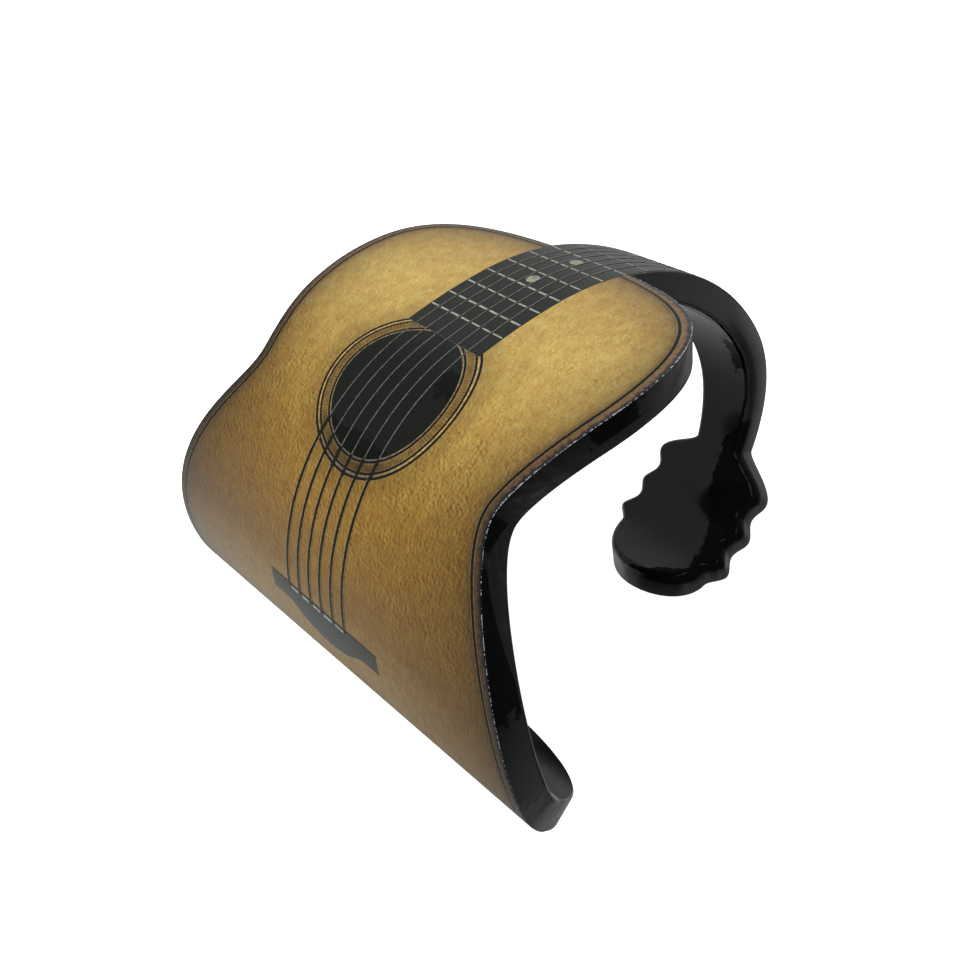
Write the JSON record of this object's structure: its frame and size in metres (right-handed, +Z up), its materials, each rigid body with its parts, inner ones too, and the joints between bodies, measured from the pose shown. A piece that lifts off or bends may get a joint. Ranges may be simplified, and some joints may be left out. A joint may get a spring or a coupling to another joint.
{
  "type": "guitar-shaped cuff bracelet",
  "caption": "C-shaped wrist cuff bent from one glossy black plastic sheet, cut in the outline of an acoustic guitar and printed as one on its outer face.",
  "frame": {"origin": "on the surface the cuff rests on, under the middle of its box", "axes": "+X towards the side where the neck loops down, Y through the loop along the wearer's arm, +Z up to the crown of the guitar's body; the cuff rests on its tail's tip and on the headstock"},
  "size_m": [0.0602, 0.0588, 0.0453],
  "materials": {
    "black_sheet": "glossy black sheet, cut edges slightly duller",
    "white_coat": "white under-print",
    "wood_ink": "golden wood print, browner to the edges",
    "border_ink": "dark brown print",
    "line_ink": "black line print",
    "tan_ink": "tan print",
    "brown_ink": "brown print",
    "hole_ink": "near-black print, half gloss",
    "board_ink": "charcoal print",
    "fret_ink": "light grey print",
    "dot_ink": "pale olive print",
    "string_ink": "near-black line print",
    "bridge_ink": "dark grey print",
    "saddle_ink": "ivory print"
  },
  "bodies": {
    "root": {"cuff_blank": "black_sheet", "base_coat": "white_coat", "border_print": "border_ink", "purfling_line": "line_ink", "rosette_inner_band": "tan_ink", "rosette_inner_line": "line_ink", "rosette_main_band": "brown_ink", "rosette_mid_line": "line_ink", "rosette_outer_band": "tan_ink", "rosette_outer_line": "line_ink", "soundboard_print": "wood_ink", "soundhole_print": "hole_ink", "fretboard_print": "board_ink", "nut_print": "saddle_ink", "fret_05": "fret_ink", "fret_06": "fret_ink", "fret_07": "fret_ink", "fret_08": "fret_ink", "fret_09": "fret_ink", "fret_10": "fret_ink", "fret_11": "fret_ink", "fret_12": "fret_ink", "fret_13": "fret_ink", "fret_14": "fret_ink", "fret_15": "fret_ink", "fret_16": "fret_ink", "fret_17": "fret_ink", "fret_18": "fret_ink", "fret_19": "fret_ink", "fret_20": "fret_ink", "dot_05": "dot_ink", "dot_07": "dot_ink", "dot_09": "dot_ink", "dot_15": "dot_ink", "dot_17": "dot_ink", "dot_12a": "dot_ink", "dot_12b": "dot_ink", "bridge_print": "bridge_ink", "saddle_print": "saddle_ink", "string_1": "string_ink", "string_2": "string_ink", "string_3": "string_ink", "string_4": "string_ink", "string_5": "string_ink", "string_6": "string_ink"}
  },
  "joints": []
}
